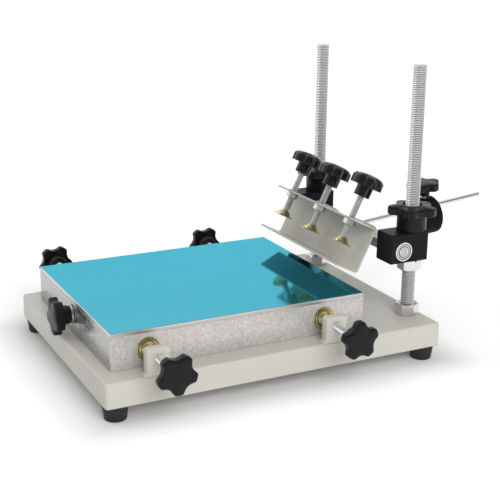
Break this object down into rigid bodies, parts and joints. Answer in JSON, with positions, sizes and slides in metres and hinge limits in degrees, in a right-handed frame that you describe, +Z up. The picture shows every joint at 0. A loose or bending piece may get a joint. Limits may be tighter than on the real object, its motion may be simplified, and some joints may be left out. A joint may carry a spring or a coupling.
{
  "type": "tabletop screen printing press",
  "caption": "Flat base on feet with a sliding platen, side and end adjusting screws, threaded posts and a tilting frame clamp with counterweight.",
  "frame": {"origin": "on the plane of the feet's soles, under the middle of the bounding box", "axes": "+X to the user's right, +Y from the user towards the hinge posts, +Z up"},
  "size_m": [0.399, 0.5695, 0.331],
  "materials": {
    "base_paint": "semi-gloss greige powder coat",
    "rubber": "matte black",
    "zinc": "bright zinc plate",
    "galvanised": "galvanised sheet with fine spangle",
    "plate_aluminium": "bright cut edge",
    "blue_film": "glossy blue protective film",
    "yellow_zinc": "yellow passivated zinc",
    "knob_plastic": "satin black moulded plastic",
    "clamp_knob_plastic": "glossy black phenolic",
    "black_anodised": "matte black anodised",
    "black_paint": "black oxide and paint",
    "block_steel": "turned and milled steel",
    "bearing_steel": "ground and polished steel"
  },
  "bodies": {
    "base": {"base_tray": "base_paint", "rubber_feet": "rubber", "foot_screws": "zinc", "foot_nuts": "zinc", "screw_brackets": "base_paint", "hinge_post_left": "zinc", "hinge_post_right": "zinc", "post_base_nuts": "zinc", "post_washers": "zinc", "post_under_nuts": "zinc"},
    "adjuster_block": {"adjuster_block": "block_steel", "adjuster_keeper": "zinc"},
    "platen": {"platen_pan": "galvanised", "platen_top_plate": "plate_aluminium", "protective_film": "blue_film"},
    "lengthwise_screw": {"lengthwise_screw": "zinc", "lengthwise_knob": "knob_plastic", "lengthwise_washers": "zinc", "lengthwise_collar": "zinc"},
    "hinge_carriage": {"hinge_block_left": "black_anodised", "hinge_block_right": "black_anodised", "bearing_outer_rings": "bearing_steel", "bearing_balls": "bearing_steel", "bearing_shields": "bearing_steel"},
    "frame_clamp": {"clamp_channel": "base_paint", "hinge_shaft": "block_steel", "hinge_plates": "base_paint", "clamp_weld_nuts": "zinc", "bearing_inner_rings": "bearing_steel", "counterweight_rod": "zinc", "rod_jam_nut": "zinc"},
    "counterweight": {"counterweight": "black_paint"},
    "counterweight_lock": {"counterweight_lock_screw": "zinc", "counterweight_lock_knob": "knob_plastic"},
    "side_pad_right_front": {"side_pad_right_front": "yellow_zinc"},
    "side_screw_right_front": {"side_screw_right_front": "zinc", "side_knob_right_front": "knob_plastic"},
    "side_pad_right_rear": {"side_pad_right_rear": "yellow_zinc"},
    "side_screw_right_rear": {"side_screw_right_rear": "zinc", "side_knob_right_rear": "knob_plastic"},
    "side_pad_left_front": {"side_pad_left_front": "yellow_zinc"},
    "side_screw_left_front": {"side_screw_left_front": "zinc", "side_knob_left_front": "knob_plastic"},
    "side_pad_left_rear": {"side_pad_left_rear": "yellow_zinc"},
    "side_screw_left_rear": {"side_screw_left_rear": "zinc", "side_knob_left_rear": "knob_plastic"},
    "star_nut_right": {"star_nut_right": "knob_plastic"},
    "star_nut_left": {"star_nut_left": "knob_plastic"},
    "support_nut_right": {"support_nut_right": "zinc"},
    "support_nut_left": {"support_nut_left": "zinc"},
    "clamp_pad_right": {"clamp_pad_right": "yellow_zinc"},
    "clamp_screw_right": {"clamp_screw_right": "zinc", "clamp_knob_right": "clamp_knob_plastic"},
    "clamp_pad_middle": {"clamp_pad_middle": "yellow_zinc"},
    "clamp_screw_middle": {"clamp_screw_middle": "zinc", "clamp_knob_middle": "clamp_knob_plastic"},
    "clamp_pad_left": {"clamp_pad_left": "yellow_zinc"},
    "clamp_screw_left": {"clamp_screw_left": "zinc", "clamp_knob_left": "clamp_knob_plastic"}
  },
  "joints": [
    {"name": "right_front_pad_slide", "type": "slide", "parent": "base", "child": "side_pad_right_front", "axis": [-1, 0, 0], "range_m": [-0.00501, 0.00501]},
    {"name": "right_front_screw_spin", "type": "hinge", "parent": "side_pad_right_front", "child": "side_screw_right_front", "pos_m": [0.148, -0.21986, 0.063], "axis": [-1, 0, 0], "range_deg": [-1441, 1441]},
    {"name": "right_rear_pad_slide", "type": "slide", "parent": "base", "child": "side_pad_right_rear", "axis": [-1, 0, 0], "range_m": [-0.00501, 0.00501]},
    {"name": "right_rear_screw_spin", "type": "hinge", "parent": "side_pad_right_rear", "child": "side_screw_right_rear", "pos_m": [0.148, -0.01406, 0.063], "axis": [-1, 0, 0], "range_deg": [-1441, 1441]},
    {"name": "left_front_pad_slide", "type": "slide", "parent": "base", "child": "side_pad_left_front", "axis": [1, 0, 0], "range_m": [-0.00501, 0.00501]},
    {"name": "left_front_screw_spin", "type": "hinge", "parent": "side_pad_left_front", "child": "side_screw_left_front", "pos_m": [-0.148, -0.21986, 0.063], "axis": [1, 0, 0], "range_deg": [-1441, 1441]},
    {"name": "left_rear_pad_slide", "type": "slide", "parent": "base", "child": "side_pad_left_rear", "axis": [1, 0, 0], "range_m": [-0.00501, 0.00501]},
    {"name": "left_rear_screw_spin", "type": "hinge", "parent": "side_pad_left_rear", "child": "side_screw_left_rear", "pos_m": [-0.148, -0.01406, 0.063], "axis": [1, 0, 0], "range_deg": [-1441, 1441]},
    {"name": "platen_cross_slide", "type": "slide", "parent": "base", "child": "adjuster_block", "axis": [1, 0, 0], "range_m": [-0.005, 0.005]},
    {"name": "platen_lengthwise_slide", "type": "slide", "parent": "adjuster_block", "child": "platen", "axis": [0, 1, 0], "range_m": [-0.008, 0.008]},
    {"name": "lengthwise_screw_spin", "type": "hinge", "parent": "platen", "child": "lengthwise_screw", "pos_m": [0, -0.26086, 0.066], "axis": [0, 1, 0], "range_deg": [-2305, 2305]},
    {"name": "height_slide", "type": "slide", "parent": "base", "child": "hinge_carriage", "axis": [0, 0, 1], "range_m": [-0.014, 0.15]},
    {"name": "right_star_nut_spin", "type": "hinge", "parent": "hinge_carriage", "child": "star_nut_right", "pos_m": [0.1035, 0.10794, 0.145], "axis": [0, 0, 1], "range_deg": [-2521, 27001]},
    {"name": "left_star_nut_spin", "type": "hinge", "parent": "hinge_carriage", "child": "star_nut_left", "pos_m": [-0.1035, 0.10794, 0.145], "axis": [0, 0, 1], "range_deg": [-2521, 27001]},
    {"name": "right_support_nut_spin", "type": "hinge", "parent": "hinge_carriage", "child": "support_nut_right", "pos_m": [0.1035, 0.10794, 0.111], "axis": [0, 0, 1], "range_deg": [-2521, 27001]},
    {"name": "left_support_nut_spin", "type": "hinge", "parent": "hinge_carriage", "child": "support_nut_left", "pos_m": [-0.1035, 0.10794, 0.111], "axis": [0, 0, 1], "range_deg": [-2521, 27001]},
    {"name": "clamp_tilt", "type": "hinge", "parent": "hinge_carriage", "child": "frame_clamp", "pos_m": [0, 0.08944, 0.1242], "axis": [1, 0, 0], "range_deg": [-34, 19]},
    {"name": "counterweight_slide", "type": "slide", "parent": "frame_clamp", "child": "counterweight", "axis": [0, 0.9951, 0.0993], "range_m": [-0.05, 0.04]},
    {"name": "counterweight_lock_spin", "type": "hinge", "parent": "counterweight", "child": "counterweight_lock", "pos_m": [0, 0.20038, 0.13527], "axis": [0, 0.0993, -0.9951], "range_deg": [-540, 0]},
    {"name": "right_clamp_pad_slide", "type": "slide", "parent": "frame_clamp", "child": "clamp_pad_right", "axis": [0, -0.4415, -0.8973], "range_m": [-0.014, 0.018]},
    {"name": "right_clamp_screw_spin", "type": "hinge", "parent": "clamp_pad_right", "child": "clamp_screw_right", "pos_m": [0.0675, 0.05051, 0.15584], "axis": [0, -0.4415, -0.8973], "range_deg": [-4033, 5185]},
    {"name": "middle_clamp_pad_slide", "type": "slide", "parent": "frame_clamp", "child": "clamp_pad_middle", "axis": [0, -0.4415, -0.8973], "range_m": [-0.014, 0.018]},
    {"name": "middle_clamp_screw_spin", "type": "hinge", "parent": "clamp_pad_middle", "child": "clamp_screw_middle", "pos_m": [0, 0.05051, 0.15584], "axis": [0, -0.4415, -0.8973], "range_deg": [-4033, 5185]},
    {"name": "left_clamp_pad_slide", "type": "slide", "parent": "frame_clamp", "child": "clamp_pad_left", "axis": [0, -0.4415, -0.8973], "range_m": [-0.014, 0.018]},
    {"name": "left_clamp_screw_spin", "type": "hinge", "parent": "clamp_pad_left", "child": "clamp_screw_left", "pos_m": [-0.0675, 0.05051, 0.15584], "axis": [0, -0.4415, -0.8973], "range_deg": [-4033, 5185]}
  ],
  "couplings": [
    {"joint": "right_front_pad_slide", "follows": "platen_cross_slide", "ratio": -1},
    {"joint": "right_front_screw_spin", "follows": "platen_cross_slide", "rad_per_m": -5026.5},
    {"joint": "right_rear_pad_slide", "follows": "platen_cross_slide", "ratio": -1},
    {"joint": "right_rear_screw_spin", "follows": "platen_cross_slide", "rad_per_m": -5026.5},
    {"joint": "left_front_pad_slide", "follows": "platen_cross_slide", "ratio": 1},
    {"joint": "left_front_screw_spin", "follows": "platen_cross_slide", "rad_per_m": 5026.5},
    {"joint": "left_rear_pad_slide", "follows": "platen_cross_slide", "ratio": 1},
    {"joint": "left_rear_screw_spin", "follows": "platen_cross_slide", "rad_per_m": 5026.5},
    {"joint": "lengthwise_screw_spin", "follows": "platen_lengthwise_slide", "rad_per_m": 5026.5},
    {"joint": "right_star_nut_spin", "follows": "height_slide", "rad_per_m": 3141.6},
    {"joint": "left_star_nut_spin", "follows": "height_slide", "rad_per_m": 3141.6},
    {"joint": "right_support_nut_spin", "follows": "height_slide", "rad_per_m": 3141.6},
    {"joint": "left_support_nut_spin", "follows": "height_slide", "rad_per_m": 3141.6},
    {"joint": "right_clamp_screw_spin", "follows": "right_clamp_pad_slide", "rad_per_m": 5026.5},
    {"joint": "middle_clamp_screw_spin", "follows": "middle_clamp_pad_slide", "rad_per_m": 5026.5},
    {"joint": "left_clamp_screw_spin", "follows": "left_clamp_pad_slide", "rad_per_m": 5026.5}
  ]
}
